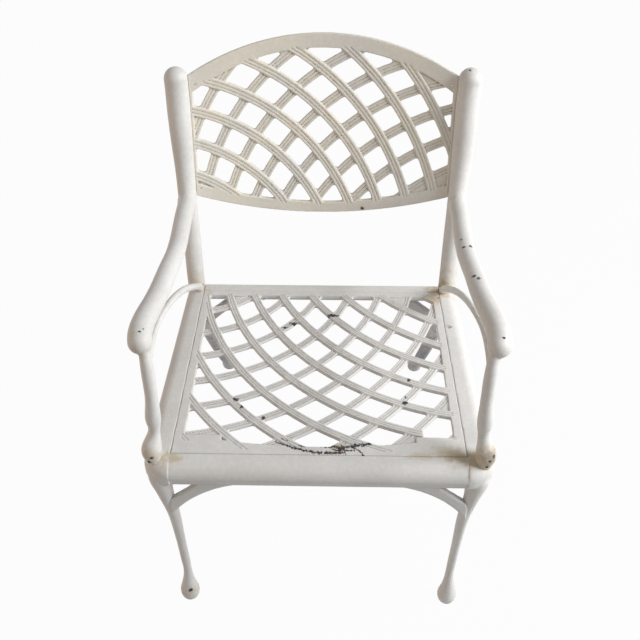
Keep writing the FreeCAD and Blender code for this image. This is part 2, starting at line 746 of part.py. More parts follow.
# bolts from the rails into the legs and posts
front_bolt = bolt_line(V(seat_seam_half_front - end_web, seat_front_y - front_rail_width * 0.45,
                         seat_height - 23.0), V(1, 0, 0))
side_front_bolt = bolt_line(V(seat_seam_half_front + side_rail_width_front * 0.5, seat_front_y + end_web,
                              rail_bottom + 13.0), V(0, -1, 0))
side_rear_bolt = bolt_line(V(post_x_seat - 1.0, side_rail_end() - rear_web, rail_bottom + 18.0), V(0, 1, 0))
rear_bolt = bolt_line(V(seam_half(seat_rear_y) - rear_web,
                        seat_rear_y + (rear_rail_width + 1.0) / 2.0 - 0.5, seat_height - 15.5), V(1, 0, 0))
rail_bolts = both_sides([b[0] for b in (front_bolt, side_front_bolt, side_rear_bolt, rear_bolt)])
rail_washers = both_sides([b[1] for b in (front_bolt, side_front_bolt, side_rear_bolt, rear_bolt)])

# screws that hold the seat panel down on the ledges
shelf_low = seat_bottom - rail_ledge_thickness
screw_spots = []
for y in (-150.0, -20.0, 110.0):
    screw_spots.append(V(seam_half(y) - rail_ledge / 2.0, y, shelf_low))
screw_spots.append(V(110.0, seat_front_y + rail_ledge / 2.0, shelf_low))
screw_spots.append(V(110.0, seat_rear_y - rail_ledge / 2.0, shelf_low))
screw_length = rail_ledge_thickness + seat_screw_bite
seat_screws = both_sides([headed(p, V(0, 0, 1), seat_screw_radius, screw_length, seat_screw_head_radius,
                                 seat_screw_head_height) for p in screw_spots])
seat_holes = both_sides([disc(p, V(0, 0, 1), seat_screw_radius + bolt_clearance, screw_length + 0.4)
                         for p in screw_spots])

# studs between the back panel's corners and the posts
stud_spots = [leaned_point(back_half_width, back_panel_thickness * 0.6, h)
              for h in ((back_corner_low + back_open_corner_low) / 2.0,
                        (back_corner_high + back_open_corner_high) / 2.0)]
half_stud = V(stud_length / 2.0, 0, 0)
back_studs = both_sides([disc(p - half_stud, V(1, 0, 0), stud_radius, stud_length) for p in stud_spots])
stud_holes = both_sides([disc(p - half_stud - V(0.4, 0, 0), V(1, 0, 0), stud_radius + bolt_clearance,
                              stud_length + 0.8) for p in stud_spots])

# stud between the arm's support and the knee
arm_stud_foot = V(knee_x + 6.5, knee_y + 5.0, seat_height - arm_stud_length / 2.0)
arm_stud = disc(arm_stud_foot, V(0, 0, 1), arm_stud_radius, arm_stud_length)
arm_stud_hole = disc(arm_stud_foot - V(0, 0, 0.4), V(0, 0, 1), arm_stud_radius + bolt_clearance,
                     arm_stud_length + 0.8)

# bolt through the post into the rear end of the arm
post_at_arm = post_point((arm_rear_height - back_foot_z) / math.cos(lean))
arm_bolt_seat = V(post_at_arm.x, post_at_arm.y + post_radius_seat - 5.5, arm_rear_height - 1.0)
arm_bolt_head = arm_bolt_seat + V(0, washer_thickness, 0)
arm_bolt_length = 2.0 * post_radius_seat - 5.5 + arm_bolt_bite + washer_thickness
arm_bolt = hex_bolt(arm_bolt_head, V(0, -1, 0), arm_bolt_radius, arm_bolt_length, arm_bolt_radius * 1.7,
                    bolt_head_height)
arm_washer = ring_washer(arm_bolt_seat, V(0, 1, 0), arm_bolt_radius + bolt_clearance, arm_bolt_radius * 1.9,
                         washer_thickness)
arm_bolt_hole = disc(arm_bolt_head, V(0, -1, 0), arm_bolt_radius + bolt_clearance, arm_bolt_length + 0.4)
arm_bolt_well = disc(arm_bolt_seat, V(0, 1, 0), arm_bolt_radius * 2.2, 40.0)

# screws up through the braces
brace_spots = [V(brace_screw_x(seat_seam_half_front), front_lip_y, rail_bottom - brace_seat),
               V(brace_screw_x(seam_half(seat_rear_y)), rear_lip_y, rear_rail_low - brace_seat)]
brace_screws = both_sides([headed(p, V(0, 0, 1), brace_screw_radius, brace_screw_length - 6.0,
                                  brace_screw_head_radius, brace_screw_head_height) for p in brace_spots])
brace_holes = both_sides([disc(p, V(0, 0, 1), brace_screw_radius + bolt_clearance, brace_screw_length - 5.6)
                          for p in brace_spots])
arm_brace_stud_drop = rail_wall + 5.0
arm_brace_spot = V(seam_half(arm_brace_foot_y) + rail_wall + brace_screw_radius + 2.0 * joint_gap,
                   arm_brace_foot_y - 1.0, seat_height - arm_brace_stud_drop)
arm_brace_stud = disc(arm_brace_spot, V(0, 0, 1), brace_screw_radius, arm_brace_stud_drop + 6.0)
arm_brace_hole = disc(arm_brace_spot - V(0, 0, 0.4), V(0, 0, 1), brace_screw_radius + bolt_clearance,
                      arm_brace_stud_drop + 6.8)

rail_front = drilled(rail_front, seat_holes + brace_holes + both_sides([front_bolt[2]]))
rail_rear = drilled(rail_rear, seat_holes + brace_holes + both_sides([rear_bolt[2]]))
right_rail = drilled(right_rail, seat_holes + [side_front_bolt[2], side_rear_bolt[2], rear_bolt[2],
                                               arm_brace_hole])
right_leg = drilled(right_leg, [front_bolt[2], side_front_bolt[2], arm_stud_hole])
right_post = drilled(right_post, [side_rear_bolt[2], rear_bolt[2], arm_bolt_hole, arm_bolt_well]
                     + stud_holes)
right_arm = drilled(right_arm, [arm_stud_hole, arm_bolt_hole])
right_arm_brace = drilled(right_arm_brace, [arm_brace_hole])
front_brace = drilled(front_brace, brace_holes)
rear_brace = drilled(rear_brace, brace_holes)
panel_seat = drilled(panel_seat, seat_holes)
panel_back = drilled(panel_back, stud_holes)

save("seat_panel", panel_seat)
save("back_panel", panel_back)
save("front_rail", rail_front)
save("rear_rail", rail_rear)
for side, flip in (("right", lambda s: s), ("left", mirrored)):
    save(side + "_back_post", flip(right_post))
    save(side + "_side_rail", flip(right_rail))
    save(side + "_front_leg", flip(right_leg))
    save(side + "_arm", flip(right_arm))
    save(side + "_arm_brace", flip(right_arm_brace))
    save(side + "_front_leg_brace", flip(front_brace))
    save(side + "_rear_leg_brace", flip(rear_brace))
save("rail_bolts", Part.makeCompound(rail_bolts))
save("rail_bolt_washers", Part.makeCompound(rail_washers))
save("seat_panel_screws", Part.makeCompound(seat_screws))
save("back_panel_studs", Part.makeCompound(back_studs))
save("arm_support_studs", Part.makeCompound(both_sides([arm_stud])))
save("arm_rear_bolts", Part.makeCompound(both_sides([arm_bolt])))
save("arm_rear_washers", Part.makeCompound(both_sides([arm_washer])))
save("leg_brace_screws", Part.makeCompound(brace_screws))
save("arm_brace_studs", Part.makeCompound(both_sides([arm_brace_stud])))
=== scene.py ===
"""Cast garden armchair: its cast and painted surface, the stage and the camera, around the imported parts.

Metres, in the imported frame: the floor is Z = 0, the sitter faces -Y and +X is the right of the picture.
"""

import math

import bpy
from mathutils import Matrix, Vector
from mathutils.bvhtree import BVHTree


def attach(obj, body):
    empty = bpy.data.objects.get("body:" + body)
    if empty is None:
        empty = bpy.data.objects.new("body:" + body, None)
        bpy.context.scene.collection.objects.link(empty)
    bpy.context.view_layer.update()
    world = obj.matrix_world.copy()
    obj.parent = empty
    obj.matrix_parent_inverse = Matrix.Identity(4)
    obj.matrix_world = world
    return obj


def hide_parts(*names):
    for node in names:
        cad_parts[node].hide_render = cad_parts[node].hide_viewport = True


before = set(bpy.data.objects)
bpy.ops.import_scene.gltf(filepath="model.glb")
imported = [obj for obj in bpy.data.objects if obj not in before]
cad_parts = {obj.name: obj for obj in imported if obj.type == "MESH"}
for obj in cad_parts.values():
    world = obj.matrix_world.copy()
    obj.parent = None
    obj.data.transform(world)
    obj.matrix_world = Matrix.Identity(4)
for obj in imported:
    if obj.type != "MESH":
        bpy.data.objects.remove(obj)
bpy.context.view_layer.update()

bl_info = {
    "name": "Cast Garden Armchair",
    "version": (1, 0, 0),
    "blender": (4, 5, 0),
    "location": "3D Viewport > Sidebar > Armchair",
    "description": "Painted cast iron armchair with a lattice seat and a bowed lattice back",
    "category": "Add Mesh",
}

# The lattice as it was cast: two families of arcs on each panel. Bar k of a family is a circle
# about centre + k * step, of radius + k * growth. "down" is the distance of the bars' own face
# below the panel's face.
SEAT_OVER = {"centre": (0.3021, 0.22445), "radius": 0.4498, "step": (-0.0241, -0.0336),
             "growth": 0.0133, "width": 0.0132, "down": 0.0}
SEAT_UNDER = {"centre": (-0.2787, 0.19015), "radius": 0.4006, "step": (-0.0123, 0.0043),
              "growth": 0.0664, "width": 0.0129, "down": 0.002}
BACK_OVER = {"centre": (-0.3071, 0.0232), "radius": 0.4326, "step": (0.0088, 0.0154),
             "growth": 0.038, "width": 0.017, "down": 0.0}
BACK_UNDER = {"centre": (0.2766, 0.0029), "radius": 0.4324, "step": (-0.0495, 0.0539),
              "growth": -0.0185, "width": 0.0162, "down": 0.002}
BARS_EACH_WAY = 6

# The grooves along the bars. A reach is how far they run past the panel's opening: towards the
# front of the seat, and elsewhere.
OVER_REACH = (0.014, 0.005)
UNDER_REACH = (0.006, 0.003)
GROOVE_SHARE = 6            # a groove lies the bar's width divided by this from its middle
CROSSING_ROOM = 0.001       # room between a groove and the bar that crosses it
SHORTEST_GROOVE = 0.006
GROOVE_STEP = 0.012         # length of each straight piece of a groove
STEPS_ROUND = 3600          # places tried round each circle
FEWEST_NEW_FACES = 500      # fewer new faces mean that the grooves were not cut

SEAT_TOP = 0.425
SEAT_OPEN_FRONT = -0.26725
SEAT_OPEN_REAR = 0.07975
SEAT_OPEN_HALF = (0.215, 0.209)     # front, rear
SEAT_OPEN_BOW = 0.022
SEAT_OPEN_STEP_X = 0.155

BACK_FOOT = (0.11975, 0.421)        # Y and Z of the lean's start
BACK_LEAN = math.radians(12.35)
BACK_SAG = 0.028
BACK_HALF = 0.231
BACK_RADIUS = (BACK_HALF ** 2 + BACK_SAG ** 2) / (2 * BACK_SAG)
BACK_OPEN_HALF = 0.225
BACK_OPEN_CORNERS = (0.201, 0.368)
BACK_OPEN_MIDDLE = (0.157, 0.4385)

CROSS_RAILS = ("front_rail", "rear_rail")
PAIRED_CASTINGS = ("back_post", "front_leg", "arm", "arm_brace", "front_leg_brace", "rear_leg_brace")
# Ends that run into the next casting under the paint: an axis (0 = X, 1 = Y) and a side.
PAINTED_OVER = {"front_rail": ((0, -1), (0, 1)), "side_rail": ((1, -1), (1, 1))}
FASTENERS = ("rail_bolts", "rail_bolt_washers", "seat_panel_screws", "back_panel_studs",
             "arm_support_studs", "arm_rear_bolts", "arm_rear_washers", "leg_brace_screws",
             "arm_brace_studs")

END_DEPTH = 0.0012          # points this near to an end belong to it
MERGE_DISTANCE = 0.000002
MOST_TRIANGLES = 190000     # on one lattice panel

# Marks of age: a spot, a radius in metres, a strength and, where the mark is not round, how many
# times narrower it is from front to rear. A spot is the pixel of the photograph where the mark is
# seen. At the joints, the feet and one post's top it is a place in metres.
JOINT_STAINS = {
    "seat_panel": (((0.215, 0.078, 0.425), 0.028, 0.8), ((-0.214, 0.082, 0.425), 0.014, 0.35),
                   ((337.5, 448), 0.016, 0.8), ((0.210, -0.304, 0.425), 0.05, 0.8, 2.4),
                   ((0.160, -0.305, 0.425), 0.03, 0.5, 3.0)),
    "back_panel": (((362, 208.5), 0.007, 0.9), ((0.226, 0.166, 0.58), 0.03, 0.25)),
    "rails": (((0.225, 0.098, 0.425), 0.035, 0.9), ((0.214, -0.305, 0.425), 0.050, 1.0, 2.0),
              ((0.165, -0.304, 0.425), 0.036, 0.6, 2.6), ((-0.229, -0.316, 0.425), 0.02, 0.8),
              ((0.25, 0.09, 0.41), 0.03, 0.3), ((-0.225, 0.1, 0.425), 0.02, 0.35)),
    "right_castings": (((0.231, -0.312, 0.425), 0.035, 0.9), ((0.258, -0.325, 0.442), 0.03, 0.9),
                       ((0.228, 0.1, 0.43), 0.035, 0.9), ((0.240, 0.118, 0.44), 0.04, 0.5),
                       ((0.263, -0.279, 0.622), 0.022, 0.35), ((0.236, 0.13, 0.47), 0.03, 0.3),
                       ((0.205, -0.31, 0.356), 0.02, 0.8), ((0.24, -0.29, 0.02), 0.02, 0.35)),
    "left_castings": (((-0.24, -0.318, 0.42), 0.022, 0.8), ((-0.257, -0.325, 0.44), 0.024, 0.55),
                      ((-0.262, -0.279, 0.625), 0.026, 0.5), ((-0.228, 0.1, 0.43), 0.025, 0.4),
                      ((-0.24, -0.292, 0.02), 0.026, 0.9), ((-0.24, 0.12, 0.44), 0.03, 0.35)),
}
# Painted shade on the rear legs, dark where the seat shades them, and dark growth above the right knee: a
# place in metres, a radius and a strength.
PAINTED_SHADE_AND_GROWTH = {
    "right_castings": (((0.225, 0.235, 0.13), 0.24, 1.1), ((0.262, -0.325, 0.446), 0.014, 0.8)),
    "left_castings": (((-0.225, 0.235, 0.13), 0.24, 0.9),),
}
BARE_SPOTS = {
    "seat_panel": (((294, 323), 0.015, 1.0, 2.2), ((332.5, 315.5), 0.018, 1.0, 2.6),
                   ((285, 326.5), 0.010, 0.9, 2.0), ((337.5, 315), 0.008, 0.8, 1.5),
                   ((408.5, 380), 0.0065, 0.95), ((405.5, 396), 0.006, 0.9),
                   ((404.5, 403), 0.0075, 0.95), ((236, 399), 0.009, 0.8),
                   ((241.5, 406.5), 0.006, 0.8), ((263, 417), 0.009, 0.75),
                   ((438, 298), 0.006, 0.5), ((340.5, 448.5), 0.011, 0.75)),
    "back_panel": (((362, 208.5), 0.0045, 0.9),),
    "rails": (((449, 327), 0.014, 0.5), ((437, 309), 0.008, 0.4)),
    "right_castings": (((470, 70), 0.006, 0.6), ((503.5, 337.5), 0.0052, 0.8, 1.6),
                       ((461, 239.5), 0.0035, 0.95), ((463.7, 247.3), 0.005, 0.9),
                       ((471, 246.5), 0.006, 0.95), ((474, 276), 0.0055, 0.8),
                       ((478.5, 278), 0.006, 0.8), ((490, 462), 0.006, 0.7),
                       ((494, 457), 0.006, 0.7), ((487, 467), 0.006, 0.8),
                       ((0.24, -0.292, 0.004), 0.02, 0.5)),
    "left_castings": (((-0.24, 0.203, 0.826), 0.006, 0.8), ((139, 331.5), 0.005, 0.6, 1.8),
                      ((143, 329), 0.004, 0.55), ((152, 458), 0.0065, 0.7),
                      ((149, 462), 0.006, 0.8), ((191, 590), 0.0075, 0.95),
                      ((-0.2425, -0.292, 0.003), 0.018, 0.6)),
}
# Cracks and peeled edges in the seat's paint: three pixels on an arc, a width and a strength.
PEELED_EDGES = (
    ((314.9, 444.1), (338.9, 445.8), (372.7, 443.3), 0.0052, 1.0),
    ((321.5, 446.5), (340, 447.5), (364, 446), 0.0032, 0.9),
    ((293, 447.5), (314.5, 452), (344, 452.5), 0.0052, 1.0),
    ((275.2, 440.4), (293, 447.5), (303.3, 450.3), 0.0030, 1.0),
    ((333.5, 449.5), (343.5, 451), (355, 450), 0.0040, 0.9),
    ((281, 438), (284.5, 439.5), (287.6, 440.8), 0.002, 0.9),
    ((298.4, 445), (302.5, 446), (307, 446.6), 0.0024, 0.95),
    ((344, 448), (344.2, 452), (347, 456), 0.0030, 0.9),
    ((351.3, 447.8), (359, 450.5), (362.8, 455.3), 0.0030, 0.85),
)
# The castings on which marks are seen, other than the seat and its rails
SEEN_CASTINGS = ("back_panel", "left_back_post", "right_back_post", "left_arm", "right_arm",
                 "left_front_leg", "right_front_leg")
FADING = 0.6                # share of the faded paint in its patches

# The stage: where the photograph was taken from, and the light round the chair
PHOTO_SIDE = 640            # pixels
CAMERA_PLACE = (0.010557, -1.219964, 1.513928)
CAMERA_PAN = 0.030338       # radians
CAMERA_DIP = 0.721691       # radians below the horizon
CAMERA_ROLL = -0.009964     # radians
CAMERA_LENS = 50.625        # millimetres, on a sensor of SENSOR_WIDTH
SENSOR_WIDTH = 36.0
CAMERA_SHIFT = (0.02198, -0.00342)
FLOOR_SIZE = 14.0
FLOOR_DROP = 0.0005         # the floor lies this much under the feet
FLOOR_GLOW = 0.965          # share of plain white in the floor that the camera sees
ROOM_LIGHT = 0.28


class ArmchairSizes(bpy.types.PropertyGroup):
    """Sizes of the surface detail."""

    lattice_skin: bpy.props.FloatProperty(
        name="Lattice Skin", description="Distance between the points of the lattice panels' surface",
        default=0.0012, min=0.0008, max=0.004, unit="LENGTH", subtype="DISTANCE")
    casting_skin: bpy.props.FloatProperty(
        name="Casting Skin", description="Distance between the points of the other castings' surface",
        default=0.0018, min=0.001, max=0.005, unit="LENGTH", subtype="DISTANCE")
    groove_radius: bpy.props.FloatProperty(
        name="Groove Radius", description="Radius of the round bottom of the grooves along each bar",
        default=0.0013, min=0.0005, max=0.003, unit="LENGTH", subtype="DISTANCE")
    groove_depth: bpy.props.FloatProperty(
        name="Groove Depth", description="Depth of the grooves along each bar",
        default=0.0013, min=0.0, max=0.003, unit="LENGTH", subtype="DISTANCE")
    painted_over: bpy.props.FloatProperty(
        name="Painted Over", description="How far a casting runs on where paint hides its joint",
        default=0.004, min=0.0, max=0.008, unit="LENGTH", subtype="DISTANCE")


class ArmchairColours(bpy.types.PropertyGroup):
    """Colours of the finishes, as linear values."""

    paint: bpy.props.FloatVectorProperty(
        name="Paint", description="Off-white paint", size=3, default=(0.79, 0.787, 0.77),
        min=0.0, max=1.0, subtype="COLOR")
    # Yellowed paint of the back, warmed further by painted warm shade
    yellowed_paint_and_warm_shade: bpy.props.FloatVectorProperty(
        name="Yellowed Paint And Warm Shade", description="Paint of the back, which has yellowed with age", size=3,
        default=(0.81, 0.765, 0.665), min=0.0, max=1.0, subtype="COLOR")
    # Painted shade on the rear legs under the seat, and dark growth above the right knee
    shade_and_growth: bpy.props.FloatVectorProperty(
        name="Shade And Growth", description="Dark growth on the rear legs and above the right knee", size=3,
        default=(0.16, 0.16, 0.19), min=0.0, max=1.0, subtype="COLOR")
    faded_paint: bpy.props.FloatVectorProperty(
        name="Faded Paint", description="Paint where it is thin or chalky", size=3,
        default=(0.69, 0.685, 0.665), min=0.0, max=1.0, subtype="COLOR")
    # Dirt in grooves and corners, together with the painted shade that darkens them
    hollow_dirt_and_shade: bpy.props.FloatVectorProperty(
        name="Dirt And Shade", description="Dirt that has settled in grooves and corners", size=3,
        default=(0.19, 0.18, 0.17), min=0.0, max=1.0, subtype="COLOR")
    rust_stain: bpy.props.FloatVectorProperty(
        name="Rust Stain", description="Yellow brown stain at the joints", size=3,
        default=(0.50, 0.38, 0.20), min=0.0, max=1.0, subtype="COLOR")
    bare_iron: bpy.props.FloatVectorProperty(
        name="Bare Iron", description="Dark iron where the paint has come off", size=3,
        default=(0.040, 0.036, 0.034), min=0.0, max=1.0, subtype="COLOR")
    zinc: bpy.props.FloatVectorProperty(
        name="Zinc", description="Plated steel of the bolts and screws", size=3,
        default=(0.58, 0.58, 0.57), min=0.0, max=1.0, subtype="COLOR")
    floor: bpy.props.FloatVectorProperty(
        name="Floor", description="Plain pale floor", size=3, default=(0.45, 0.45, 0.45),
        min=0.0, max=1.0, subtype="COLOR")


# Meshes
def deselect_all():
    if bpy.context.mode != "OBJECT":
        bpy.ops.object.mode_set(mode="OBJECT")
    bpy.ops.object.select_all(action="DESELECT")


def make_active(piece):
    deselect_all()
    piece.select_set(True)
    bpy.context.view_layer.objects.active = piece


def copy_of_node(node, name):
    """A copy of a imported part's mesh, with its loose triangles merged."""
    piece = bpy.data.objects.new(name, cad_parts[node].data.copy())
    bpy.context.scene.collection.objects.link(piece)
    piece.data.materials.clear()
    make_active(piece)
    bpy.ops.object.mode_set(mode="EDIT")
    bpy.ops.mesh.select_all(action="SELECT")
    bpy.ops.mesh.remove_doubles(threshold=MERGE_DISTANCE)
    bpy.ops.object.mode_set(mode="OBJECT")
    bpy.ops.mesh.customdata_custom_splitnormals_clear()
    return piece


def modify(piece, kind, **settings):
    """Adds a modifier and applies it."""
    make_active(piece)
    modifier = piece.modifiers.new(kind.title(), kind)
    for key, value in settings.items():
        setattr(modifier, key, value)
    bpy.ops.object.modifier_apply(modifier=modifier.name)


def cast_skin(piece, spacing, rounds):
    """Gives a piece one closed skin of even faces, with its edges rounded as cast ones are."""
    modify(piece, "REMESH", mode="VOXEL", voxel_size=spacing, adaptivity=0.0, use_smooth_shade=True)
    modify(piece, "SMOOTH", factor=0.5, iterations=rounds)


def lengthen(piece, ends, reach):
    """Moves the flat ends of a piece into its neighbours, where old paint hides the joint.

    An end is an axis, 0 for X and 1 for Y, and the side of the piece that it is on."""
    for axis, side in ends:
        last = max(side * vertex.co[axis] for vertex in piece.data.vertices)
        for vertex in piece.data.vertices:
            if side * vertex.co[axis] > last - END_DEPTH:
                vertex.co[axis] += side * reach


def triangles(piece):
    return sum(len(face.vertices) - 2 for face in piece.data.polygons)


def thin_out(piece, most):
    count = triangles(piece)
    if count > most:
        modify(piece, "DECIMATE", decimate_type="COLLAPSE", ratio=most / count)


def shade(piece, weighted):
    make_active(piece)
    bpy.ops.object.shade_smooth()
    if weighted:
        modify(piece, "WEIGHTED_NORMAL", weight=80)


# The lattice's grooves
def bar_circle(family, k):
    x, y = family["centre"]
    across, along = family["step"]
    return x + k * across, y + k * along, family["radius"] + k * family["growth"]


def inside_seat_opening(x, y, reach):
    front_margin, margin = reach
    share = (y - SEAT_OPEN_FRONT) / (SEAT_OPEN_REAR - SEAT_OPEN_FRONT)
    half = SEAT_OPEN_HALF[0] + (SEAT_OPEN_HALF[1] - SEAT_OPEN_HALF[0]) * share
    front = SEAT_OPEN_FRONT
    if abs(x) < SEAT_OPEN_STEP_X:
        front -= SEAT_OPEN_BOW * (1.0 - 0.5 * (x / SEAT_OPEN_STEP_X) ** 2)
    return abs(x) < half + margin and front - front_margin < y < SEAT_OPEN_REAR + margin


def inside_back_opening(x, h, reach):
    margin = reach[1]
    share = 1.0 - (x / BACK_OPEN_HALF) ** 2
    low = BACK_OPEN_CORNERS[0] + (BACK_OPEN_MIDDLE[0] - BACK_OPEN_CORNERS[0]) * share
    high = BACK_OPEN_CORNERS[1] + (BACK_OPEN_MIDDLE[1] - BACK_OPEN_CORNERS[1]) * share
    return abs(x) < BACK_OPEN_HALF + margin and low - margin < h < high + margin


def clear_of(family, x, y):
    """True where a point lies beside every bar of the family that crosses on top."""
    for k in range(-BARS_EACH_WAY, BARS_EACH_WAY + 1):
        cx, cy, radius = bar_circle(family, k)
        aside = abs(math.hypot(x - cx, y - cy) - radius)
        if radius > 0 and aside < family["width"] / 2 + CROSSING_ROOM:
            return False
    return True


def spans(circle, allowed):
    """Start and end angles of the stretches of a circle where allowed(x, y) holds."""
    cx, cy, radius = circle
    turn = 2 * math.pi / STEPS_ROUND
    here = [allowed(cx + radius * math.cos(i * turn), cy + radius * math.sin(i * turn))
            for i in range(STEPS_ROUND)]
    first = here.index(False)
    found = []
    start = None
    for i in range(first, first + STEPS_ROUND + 1):
        if here[i % STEPS_ROUND] and start is None:
            start = i
        elif not here[i % STEPS_ROUND] and start is not None:
            if (i - start) * turn * radius > SHORTEST_GROOVE:
                found.append((start * turn, (i - 1) * turn))
            start = None
    return found


def groove_cutter(name, families, inside, face_height, sizes):
    """Round bars that lie where the two grooves of each lattice bar are to be."""
    over = families[0]
    deselect_all()
    bpy.ops.mesh.primitive_circle_add(vertices=3, radius=sizes.groove_radius, location=(0, 0, 0))
    cutter = bpy.context.object
    cutter.name = name
    bpy.ops.object.mode_set(mode="EDIT")
    bpy.ops.mesh.select_all(action="SELECT")
    bpy.ops.mesh.delete(type="VERT")
    for family in families:
        height = face_height - family["down"] + sizes.groove_radius - sizes.groove_depth
        for k in range(-BARS_EACH_WAY, BARS_EACH_WAY + 1):
            cx, cy, radius = bar_circle(family, k)
            if radius < family["width"]:
                continue
            for side in (-1, 1):
                circle = (cx, cy, radius + side * family["width"] / GROOVE_SHARE)

                def allowed(x, y):
                    if family is over:
                        return inside(x, y, OVER_REACH)
                    return inside(x, y, UNDER_REACH) and clear_of(over, x, y)
                for start, end in spans(circle, allowed):
                    add_round_groove(circle, start, end, height, sizes.groove_radius)
    bpy.ops.mesh.select_all(action="SELECT")
    bpy.ops.mesh.normals_make_consistent(inside=False)
    bpy.ops.object.mode_set(mode="OBJECT")
    return cutter


def add_round_groove(circle, start, end, height, size):
    """One bent round bar, spun about the centre of its arc. It is added in edit mode."""
    cx, cy, radius = circle
    bpy.ops.mesh.primitive_circle_add(
        vertices=8, radius=size, fill_type="NGON", rotation=(math.pi / 2, 0, start),
        location=(cx + radius * math.cos(start), cy + radius * math.sin(start), height))
    bpy.ops.mesh.spin(steps=max(2, round(radius * (end - start) / GROOVE_STEP)), angle=start - end,
                      center=(cx, cy, height), axis=(0, 0, 1))


def bow_to_back(mesh):
    """Moves a flat drawing of the back, lying face up at Z = 0, onto the bowed and leaning panel."""
    for vertex in mesh.vertices:
        x, h, rise = vertex.co
        behind = BACK_SAG - BACK_RADIUS + math.sqrt((BACK_RADIUS - rise) ** 2 - x * x)
        vertex.co = (x, BACK_FOOT[0] + behind * math.cos(BACK_LEAN) + h * math.sin(BACK_LEAN),
                     BACK_FOOT[1] - behind * math.sin(BACK_LEAN) + h * math.cos(BACK_LEAN))


def cut_grooves(piece, cutter):
    before = len(piece.data.polygons)
    modify(piece, "BOOLEAN", operation="DIFFERENCE", object=cutter, solver="MANIFOLD")
    bpy.data.objects.remove(cutter)
    if len(piece.data.polygons) < before + FEWEST_NEW_FACES:
        raise RuntimeError(f"the grooves of {piece.name} were not cut")


def stand_for(piece, node, material):
    piece.data.materials.clear()
    piece.data.materials.append(material)
    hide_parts(node)
    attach(piece, "root")


# The photograph's camera
def camera_pose():
    turn = (Matrix.Rotation(CAMERA_PAN, 4, "Z") @ Matrix.Rotation(math.pi / 2 - CAMERA_DIP, 4, "X")
            @ Matrix.Rotation(CAMERA_ROLL, 4, "Z"))
    return Matrix.Translation(CAMERA_PLACE) @ turn


def line_of_sight(pixel):
    """Start and direction of the line that the camera sees at a pixel of the photograph."""
    across, down = pixel
    pose = camera_pose()
    aim = Vector(((across / PHOTO_SIDE - 0.5 + CAMERA_SHIFT[0]) * SENSOR_WIDTH / CAMERA_LENS,
                  (0.5 - down / PHOTO_SIDE + CAMERA_SHIFT[1]) * SENSOR_WIDTH / CAMERA_LENS, -1.0))
    return pose.translation, (pose.to_3x3() @ aim).normalized()


def seen_on_seat(pixel):
    """Where a line of sight meets the level of the seat's face."""
    start, aim = line_of_sight(pixel)
    return start + aim * ((SEAT_TOP - start.z) / aim.z)


def surface_of(node):
    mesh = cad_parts[node].data
    return BVHTree.FromPolygons([vertex.co.copy() for vertex in mesh.vertices],
                                [tuple(face.vertices) for face in mesh.polygons])


def seen_on_castings(pixel, surfaces):
    """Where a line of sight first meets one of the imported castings."""
    start, aim = line_of_sight(pixel)
    hits = [surface.ray_cast(start, aim) for surface in surfaces]
    met = [(distance, place) for place, normal, face, distance in hits if place is not None]
    if not met:
        raise RuntimeError(f"no casting is seen at pixel {pixel}")
    return min(met, key=lambda hit: hit[0])[1]


def placed(table, region):
    """The marks of a table, each with its spot as a place in metres."""
    flat = region in ("seat_panel", "rails")
    surfaces = [] if flat else [surface_of(node) for node in SEEN_CASTINGS]
    found = []
    for spot, *rest in table:
        if len(spot) == 2:
            spot = seen_on_seat(spot) if flat else seen_on_castings(spot, surfaces)
        found.append((spot, *rest))
    return found


# Materials
def new_tree(tree, kind, links=(), **settings):
    """Adds a node, sets its properties, and sets or links its inputs."""
    node = tree.nodes.new(kind)
    for key, value in settings.items():
        setattr(node, key, value)
    for key, value in dict(links).items():
        if isinstance(value, bpy.types.NodeSocket):
            tree.links.new(value, node.inputs[key])
        else:
            node.inputs[key].default_value = value
    return node


def maths(tree, operation, *values, clamp=False):
    return new_tree(tree, "ShaderNodeMath", dict(enumerate(values)), operation=operation,
                    use_clamp=clamp).outputs[0]


def ramp(tree, value, low, high, to_low=0.0, to_high=1.0):
    """Maps a value from one range to another, smoothly at both ends."""
    links = {"Value": value, "From Min": low, "From Max": high, "To Min": to_low, "To Max": to_high}
    return new_tree(tree, "ShaderNodeMapRange", links, interpolation_type="SMOOTHSTEP").outputs["Result"]


def noise(tree, vector, scale, detail=2.0, rough=0.5):
    links = {"Vector": vector, "Scale": scale, "Detail": detail, "Roughness": rough}
    return new_tree(tree, "ShaderNodeTexNoise", links).outputs["Fac"]


def mix(tree, factor, first, second):
    node = new_tree(tree, "ShaderNodeMix", {"Factor": factor}, data_type="RGBA")
    for socket, value in ((node.inputs[6], first), (node.inputs[7], second)):
        if isinstance(value, bpy.types.NodeSocket):
            tree.links.new(value, socket)
        else:
            socket.default_value = value
    return node.outputs[2]


def effect(name, inputs, outputs):
    """A new node group for an effect that several finishes use."""
    group = bpy.data.node_groups.new(name, "ShaderNodeTree")
    for label, kind, value in inputs:
        socket = group.interface.new_socket(name=label, in_out="INPUT", socket_type="NodeSocket" + kind)
        if value is not None:
            socket.default_value = value
    for label, kind in outputs:
        group.interface.new_socket(name=label, in_out="OUTPUT", socket_type="NodeSocket" + kind)
    return group, group.nodes.new("NodeGroupInput").outputs, group.nodes.new("NodeGroupOutput")


def colour4(colour):
    return (colour[0], colour[1], colour[2], 1.0)


